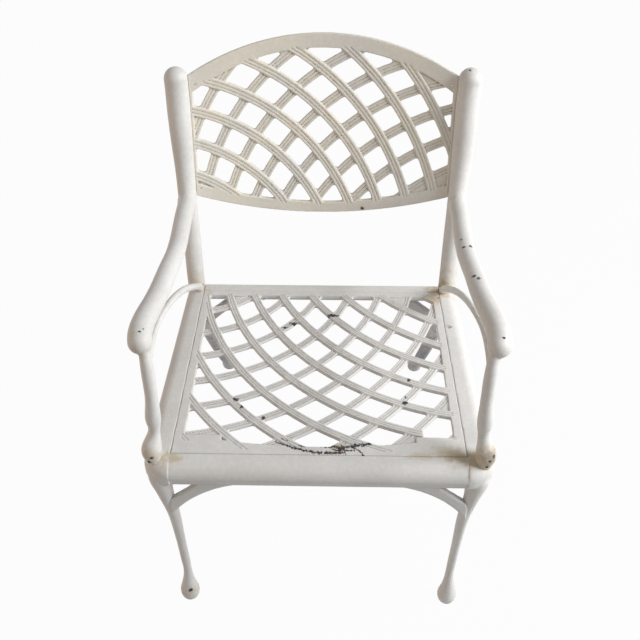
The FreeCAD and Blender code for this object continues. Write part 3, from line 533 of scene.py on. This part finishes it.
def paint_film_effect():
    """Uneven off-white paint over a cast surface."""
    group, into, out = effect(
        "Paint Film", [("Vector", "Vector", None), ("Paint", "Color", (0.8, 0.8, 0.8, 1)),
                       ("Faded", "Color", (0.7, 0.7, 0.7, 1)), ("Fading", "Float", 0.6)],
        [("Color", "Color"), ("Roughness", "Float"), ("Height", "Float")])
    patches = ramp(group, noise(group, into["Vector"], 11.0, 4.0, 0.6), 0.35, 0.7)
    fine = noise(group, into["Vector"], 140.0, 3.0, 0.6)
    faded = maths(group, "MULTIPLY", patches, into["Fading"])
    speckle = ramp(group, fine, 0.35, 0.75, 0.96, 1.03)
    film = mix(group, faded, into["Paint"], into["Faded"])
    scaled = new_tree(group, "ShaderNodeVectorMath", {0: film, "Scale": speckle},
                      operation="SCALE").outputs[0]
    group.links.new(scaled, out.inputs["Color"])
    group.links.new(ramp(group, fine, 0.3, 0.7, 0.42, 0.58), out.inputs["Roughness"])
    lumps = noise(group, into["Vector"], 38.0, 3.0, 0.55)
    group.links.new(maths(group, "ADD", maths(group, "MULTIPLY", fine, 0.35), lumps), out.inputs["Height"])
    return group


def hollow_dirt_and_shade_effect():
    """Dirt and painted shade in concave places, from the mesh's own curvature."""
    group, into, out = effect(
        "Hollow Grime", [("Vector", "Vector", None), ("Pointiness", "Float", 0.5), ("Amount", "Float", 0.8)],
        [("Mask", "Float")])
    hollow = ramp(group, into["Pointiness"], 0.498, 0.466)
    broken = ramp(group, noise(group, into["Vector"], 55.0, 3.0, 0.6), 0.25, 0.65, 0.35, 1.0)
    mask = maths(group, "MULTIPLY", maths(group, "MULTIPLY", hollow, broken), into["Amount"], clamp=True)
    group.links.new(mask, out.inputs["Mask"])
    return group


def spot_effect():
    """Adds one mark with a soft, ragged edge to a mask. Shape is 1 on every axis for a round one."""
    group, into, out = effect(
        "Mark Spot", [("Vector", "Vector", None), ("Rag", "Float", 0.5), ("Centre", "Vector", None),
                      ("Radius", "Float", 0.01), ("Strength", "Float", 1.0), ("Before", "Float", 0.0),
                      ("Shape", "Vector", None)],
        [("Mask", "Float")])
    away = new_tree(group, "ShaderNodeVectorMath", {0: into["Vector"], 1: into["Centre"]},
                    operation="SUBTRACT").outputs[0]
    shaped = new_tree(group, "ShaderNodeVectorMath", {0: away, 1: into["Shape"]},
                      operation="MULTIPLY").outputs[0]
    far = new_tree(group, "ShaderNodeVectorMath", {0: shaped}, operation="LENGTH").outputs["Value"]
    share = maths(group, "DIVIDE", far, into["Radius"])
    ragged = maths(group, "ADD", share, maths(group, "MULTIPLY", into["Rag"], 2.2))
    mark = maths(group, "MULTIPLY", ramp(group, ragged, 2.1, 1.2), into["Strength"])
    group.links.new(maths(group, "MAXIMUM", mark, into["Before"]), out.inputs["Mask"])
    return group


def peel_effect():
    """Adds one torn line of missing paint, along an arc on the seat, to a mask."""
    group, into, out = effect(
        "Peeled Line", [("Vector", "Vector", None), ("Rag", "Float", 0.5), ("Centre", "Vector", None),
                        ("Radius", "Float", 0.3), ("Width", "Float", 0.003), ("Middle", "Vector", None),
                        ("Reach", "Float", 0.05), ("Strength", "Float", 1.0), ("Before", "Float", 0.0)],
        [("Mask", "Float")])
    away = new_tree(group, "ShaderNodeVectorMath", {0: into["Vector"], 1: into["Centre"]},
                    operation="DISTANCE").outputs["Value"]
    off = maths(group, "DIVIDE", maths(group, "ABSOLUTE", maths(group, "SUBTRACT", away, into["Radius"])),
                into["Width"])
    along = new_tree(group, "ShaderNodeVectorMath", {0: into["Vector"], 1: into["Middle"]},
                     operation="DISTANCE").outputs["Value"]
    ends = ramp(group, maths(group, "DIVIDE", along, into["Reach"]), 1.08, 0.92)
    torn = ramp(group, maths(group, "ADD", off, maths(group, "MULTIPLY", into["Rag"], 4.0)), 2.65, 2.15)
    mark = maths(group, "MULTIPLY", maths(group, "MULTIPLY", torn, ends), into["Strength"])
    group.links.new(maths(group, "MAXIMUM", mark, into["Before"]), out.inputs["Mask"])
    return group


def circle_through(a, b, c):
    """Centre and radius of the circle through three points in the plane."""
    (ax, ay), (bx, by), (cx, cy) = a, b, c
    aa, bb, cc = (px * px + py * py for px, py in (a, b, c))
    twice = 2 * (ax * (by - cy) + bx * (cy - ay) + cx * (ay - by))
    x = (aa * (by - cy) + bb * (cy - ay) + cc * (ay - by)) / twice
    y = (aa * (cx - bx) + bb * (ax - cx) + cc * (bx - ax)) / twice
    return (x, y), math.hypot(ax - x, ay - y)


def use(tree, name, **links):
    node = tree.nodes.new("ShaderNodeGroup")
    node.node_tree = bpy.data.node_groups[name]
    for key, value in links.items():
        if isinstance(value, bpy.types.NodeSocket):
            tree.links.new(value, node.inputs[key])
        else:
            node.inputs[key].default_value = value
    return node.outputs


def marks(tree, place, rag, table):
    """A mask of the marks in a table: centre, radius, strength and how narrow from front to rear."""
    mask = 0.0
    for centre, radius, strength, *narrow in table:
        mask = use(tree, "Mark Spot", Vector=place, Rag=rag, Centre=centre, Radius=radius, Before=mask,
                   Strength=strength, Shape=(1.0, narrow[0] if narrow else 1.0, 1.0))["Mask"]
    return mask


def painted_casting(name, paint, stains, shade_and_growth_marks, bare, peeled, colours):
    """Old off-white paint on cast iron, with stains at the joints, bare places, dirt and painted shade in
    the hollows, and painted shade on the rear legs.
    """
    material = bpy.data.materials.new(name)
    material.use_nodes = True
    tree = material.node_tree
    shader = tree.nodes["Principled BSDF"]
    shader.inputs["IOR"].default_value = 1.45
    place = new_tree(tree, "ShaderNodeTexCoord").outputs["Object"]
    pointed = new_tree(tree, "ShaderNodeNewGeometry").outputs["Pointiness"]
    film = use(tree, "Paint Film", Vector=place, Paint=colour4(paint),
               Faded=colour4(colours.faded_paint), Fading=FADING)
    # Painted shade and dirt: grooves and corners darkened from the mesh's curvature
    hollow_dirt_and_shade = use(tree, "Hollow Grime", Vector=place, Pointiness=pointed, Amount=0.9)["Mask"]
    cloudy = noise(tree, place, 60.0, 4.0, 0.65)
    jagged = noise(tree, place, 260.0, 4.0, 0.75)
    stain = marks(tree, place, cloudy, stains)
    # Painted shade: the rear legs are darkened where the seat shades them, with dark growth at the right
    # knee
    growth = marks(tree, place, cloudy, shade_and_growth_marks)
    spots = marks(tree, place, jagged, bare)
    for *pixels, width, strength in peeled:
        first, middle, last = (seen_on_seat(pixel) for pixel in pixels)
        centre, radius = circle_through(first.xy, middle.xy, last.xy)
        spots = use(tree, "Peeled Line", Vector=place, Rag=jagged, Centre=(*centre, SEAT_TOP), Radius=radius,
                    Width=width, Middle=middle, Strength=strength, Before=spots,
                    Reach=max(math.dist(first, middle), math.dist(middle, last)))["Mask"]
    specks = ramp(tree, noise(tree, place, 420.0, 2.0, 0.5), 0.735, 0.765)
    bare_mask = maths(tree, "MAXIMUM", ramp(tree, spots, 0.35, 0.6), maths(tree, "MULTIPLY", specks, 0.8))
    dirty_and_shaded = mix(tree, hollow_dirt_and_shade, film["Color"], colour4(colours.hollow_dirt_and_shade))
    stained = mix(tree, maths(tree, "MULTIPLY", stain, 0.8), dirty_and_shaded, colour4(colours.rust_stain))
    shaded_and_grown = mix(tree, maths(tree, "MULTIPLY", growth, ramp(tree, cloudy, 0.3, 0.7, 0.6, 0.95)), stained,
                colour4(colours.shade_and_growth))
    final = mix(tree, bare_mask, shaded_and_grown, colour4(colours.bare_iron))
    tree.links.new(final, shader.inputs["Base Color"])
    tree.links.new(maths(tree, "ADD", film["Roughness"], maths(tree, "MULTIPLY", bare_mask, 0.3)),
                   shader.inputs["Roughness"])
    height = maths(tree, "SUBTRACT", film["Height"], maths(tree, "MULTIPLY", bare_mask, 1.2))
    bump = new_tree(tree, "ShaderNodeBump", {"Height": height, "Strength": 0.35, "Distance": 0.0012})
    tree.links.new(bump.outputs["Normal"], shader.inputs["Normal"])
    return material


def plated_steel(name, colours):
    """Dull zinc on steel, with a few rust blooms."""
    material = bpy.data.materials.new(name)
    material.use_nodes = True
    tree = material.node_tree
    shader = tree.nodes["Principled BSDF"]
    place = new_tree(tree, "ShaderNodeTexCoord").outputs["Object"]
    spangle = noise(tree, place, 700.0, 3.0, 0.6)
    bloom = ramp(tree, noise(tree, place, 180.0, 4.0, 0.65), 0.55, 0.68)
    tree.links.new(mix(tree, bloom, colour4(colours.zinc), colour4(colours.rust_stain)),
                   shader.inputs["Base Color"])
    tree.links.new(ramp(tree, spangle, 0.3, 0.7, 0.32, 0.5), shader.inputs["Roughness"])
    tree.links.new(ramp(tree, bloom, 0.0, 1.0, 0.95, 0.1), shader.inputs["Metallic"])
    bump = new_tree(tree, "ShaderNodeBump", {"Height": spangle, "Strength": 0.25, "Distance": 0.0003})
    tree.links.new(bump.outputs["Normal"], shader.inputs["Normal"])
    return material


def finish_for(region):
    """The painted finish of one region, made once."""
    name = "painted_" + region
    if name in bpy.data.materials:
        return bpy.data.materials[name]
    if "Paint Film" not in bpy.data.node_groups:
        paint_film_effect()
        hollow_dirt_and_shade_effect()
        spot_effect()
        peel_effect()
    colours = bpy.context.scene.armchair_colours
    back = region == "back_panel"
    # The back's paint colour holds painted warm shade as well as yellowing
    return painted_casting(name, colours.yellowed_paint_and_warm_shade if back else colours.paint,
                           placed(JOINT_STAINS[region], region), PAINTED_SHADE_AND_GROWTH.get(region, ()),
                           placed(BARE_SPOTS[region], region),
                           PEELED_EDGES if region == "seat_panel" else (), colours)


class ARMCHAIR_OT_seat_panel(bpy.types.Operator):
    """Cuts the grooves along the seat's bars and gives the panel its cast skin"""

    bl_idname = "armchair.seat_panel"
    bl_label = "Seat Panel"

    def execute(self, context):
        sizes = context.scene.armchair_sizes
        piece = copy_of_node("seat_panel", "seat_lattice")
        cutter = groove_cutter("seat_groove_cutter", (SEAT_OVER, SEAT_UNDER), inside_seat_opening,
                               SEAT_TOP, sizes)
        cut_grooves(piece, cutter)
        cast_skin(piece, sizes.lattice_skin, 2)
        thin_out(piece, MOST_TRIANGLES)
        shade(piece, True)
        stand_for(piece, "seat_panel", finish_for("seat_panel"))
        return {"FINISHED"}


class ARMCHAIR_OT_back_panel(bpy.types.Operator):
    """Cuts the grooves along the back's bars and gives the panel its cast skin"""

    bl_idname = "armchair.back_panel"
    bl_label = "Back Panel"

    def execute(self, context):
        sizes = context.scene.armchair_sizes
        piece = copy_of_node("back_panel", "back_lattice")
        cutter = groove_cutter("back_groove_cutter", (BACK_OVER, BACK_UNDER), inside_back_opening,
                               0.0, sizes)
        bow_to_back(cutter.data)
        cut_grooves(piece, cutter)
        cast_skin(piece, sizes.lattice_skin, 2)
        thin_out(piece, MOST_TRIANGLES)
        shade(piece, True)
        stand_for(piece, "back_panel", finish_for("back_panel"))
        return {"FINISHED"}


class ARMCHAIR_OT_castings(bpy.types.Operator):
    """Gives the rails, posts, legs, arms and braces their cast skin and old paint"""

    bl_idname = "armchair.castings"
    bl_label = "Frame Castings"

    def execute(self, context):
        sizes = context.scene.armchair_sizes
        nodes = [(name, "rails") for name in CROSS_RAILS]
        for side in ("left", "right"):
            nodes += [(side + "_" + name, side + "_castings") for name in PAIRED_CASTINGS]
            nodes.append((side + "_side_rail", "rails"))
        for node, region in nodes:
            piece = copy_of_node(node, node + "_casting")
            kind = node.removeprefix("left_").removeprefix("right_")
            lengthen(piece, PAINTED_OVER.get(kind, ()), sizes.painted_over)
            cast_skin(piece, sizes.casting_skin, 3)
            shade(piece, False)
            stand_for(piece, node, finish_for(region))
        return {"FINISHED"}


class ARMCHAIR_OT_fasteners(bpy.types.Operator):
    """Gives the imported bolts, screws and studs their plated finish"""

    bl_idname = "armchair.fasteners"
    bl_label = "Fasteners"

    def execute(self, context):
        steel = plated_steel("zinc_plated_steel", context.scene.armchair_colours)
        for node in FASTENERS:
            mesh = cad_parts[node].data
            mesh.materials.clear()
            mesh.materials.append(steel)
        return {"FINISHED"}


class ARMCHAIR_OT_stage(bpy.types.Operator):
    """Sets the floor, the soft studio light and the camera"""

    bl_idname = "armchair.stage"
    bl_label = "Stage"

    def execute(self, context):
        floor_colour = colour4(context.scene.armchair_colours.floor)
        deselect_all()
        bpy.ops.mesh.primitive_plane_add(size=FLOOR_SIZE, location=(0, 0, -FLOOR_DROP))
        floor = context.object
        floor.name = "floor"
        bpy.ops.object.transform_apply(location=True)
        floor.data.materials.append(pale_floor("pale_floor", floor_colour))
        studio_world(context.scene)
        add_softbox("key_light", place=(2.6, -0.55, 2.0), target=(0.0, 0.0, 0.5), size=1.6,
                    power=98.0, colour=(1.0, 0.99, 0.98))
        add_softbox("fill_light", place=(-2.5, -0.6, 0.6), target=(0.0, 0.0, 0.4), size=1.8,
                    power=15.0, colour=(1.0, 0.62, 0.34))
        camera = bpy.data.cameras.new("photo_view")
        camera.lens = CAMERA_LENS
        camera.sensor_width = SENSOR_WIDTH
        camera.shift_x, camera.shift_y = CAMERA_SHIFT
        view = bpy.data.objects.new("photo_view", camera)
        context.scene.collection.objects.link(view)
        view.matrix_world = camera_pose()
        context.scene.camera = view
        context.scene.view_settings.view_transform = "Standard"
        return {"FINISHED"}


def add_softbox(name, place, target, size, power, colour):
    lamp = bpy.data.lights.new(name, "AREA")
    lamp.shape = "SQUARE"
    lamp.size = size
    lamp.energy = power
    lamp.color = colour
    holder = bpy.data.objects.new(name, lamp)
    bpy.context.scene.collection.objects.link(holder)
    holder.location = place
    aim = Vector(target) - Vector(place)
    holder.rotation_euler = aim.to_track_quat("-Z", "Y").to_euler()


def seen_rays(tree):
    """1 for rays from the camera, also by way of a reflection, and 0 for those that light the chair."""
    path = new_tree(tree, "ShaderNodeLightPath").outputs
    return maths(tree, "MAXIMUM", path["Is Camera Ray"],
                 maths(tree, "MAXIMUM", path["Is Glossy Ray"], path["Is Transmission Ray"]))


def pale_floor(name, colour):
    """Plain floor that looks white to the camera and still takes a faint shadow."""
    material = bpy.data.materials.new(name)
    material.use_nodes = True
    tree = material.node_tree
    tree.nodes.clear()
    seen = seen_rays(tree)
    matt = new_tree(tree, "ShaderNodeBsdfDiffuse", {"Color": colour})
    glow = new_tree(tree, "ShaderNodeEmission", {"Color": (1, 1, 1, 1), "Strength": 1.0})
    both = new_tree(tree, "ShaderNodeMixShader", {0: maths(tree, "MULTIPLY", seen, FLOOR_GLOW),
                                                  1: matt.outputs[0], 2: glow.outputs[0]})
    out = new_tree(tree, "ShaderNodeOutputMaterial")
    tree.links.new(both.outputs[0], out.inputs["Surface"])
    return material


def studio_world(scene):
    """Even soft light all round, with a white background to the camera."""
    world = bpy.data.worlds.new("studio")
    world.use_nodes = True
    scene.world = world
    tree = world.node_tree
    tree.nodes.clear()
    seen = seen_rays(tree)
    room = new_tree(tree, "ShaderNodeBackground", {"Color": (1.0, 0.99, 0.98, 1), "Strength": ROOM_LIGHT})
    paper = new_tree(tree, "ShaderNodeBackground", {"Color": (1, 1, 1, 1), "Strength": 1.0})
    both = new_tree(tree, "ShaderNodeMixShader", {0: seen, 1: room.outputs[0], 2: paper.outputs[0]})
    out = new_tree(tree, "ShaderNodeOutputWorld")
    tree.links.new(both.outputs[0], out.inputs["Surface"])


OPERATORS = (ARMCHAIR_OT_stage, ARMCHAIR_OT_seat_panel, ARMCHAIR_OT_back_panel,
             ARMCHAIR_OT_castings, ARMCHAIR_OT_fasteners)


class ARMCHAIR_PT_panel(bpy.types.Panel):
    """Lists the armchair's sizes, colours and steps"""

    bl_idname = "ARMCHAIR_PT_panel"
    bl_label = "Cast Garden Armchair"
    bl_space_type = "VIEW_3D"
    bl_region_type = "UI"
    bl_category = "Armchair"

    def draw(self, context):
        for group in (context.scene.armchair_sizes, context.scene.armchair_colours):
            for key in type(group).__annotations__:
                self.layout.prop(group, key)
        for operator in OPERATORS:
            self.layout.operator(operator.bl_idname)


CLASSES = (ArmchairSizes, ArmchairColours, *OPERATORS, ARMCHAIR_PT_panel)


def register():
    for item in CLASSES:
        bpy.utils.register_class(item)
    bpy.types.Scene.armchair_sizes = bpy.props.PointerProperty(type=ArmchairSizes)
    bpy.types.Scene.armchair_colours = bpy.props.PointerProperty(type=ArmchairColours)


def unregister():
    del bpy.types.Scene.armchair_colours
    del bpy.types.Scene.armchair_sizes
    for item in reversed(CLASSES):
        bpy.utils.unregister_class(item)


def main():
    register()
    bpy.ops.armchair.stage()
    bpy.ops.armchair.seat_panel()
    bpy.ops.armchair.back_panel()
    bpy.ops.armchair.castings()
    bpy.ops.armchair.fasteners()
    deselect_all()


if __name__ == "__main__":
    main()
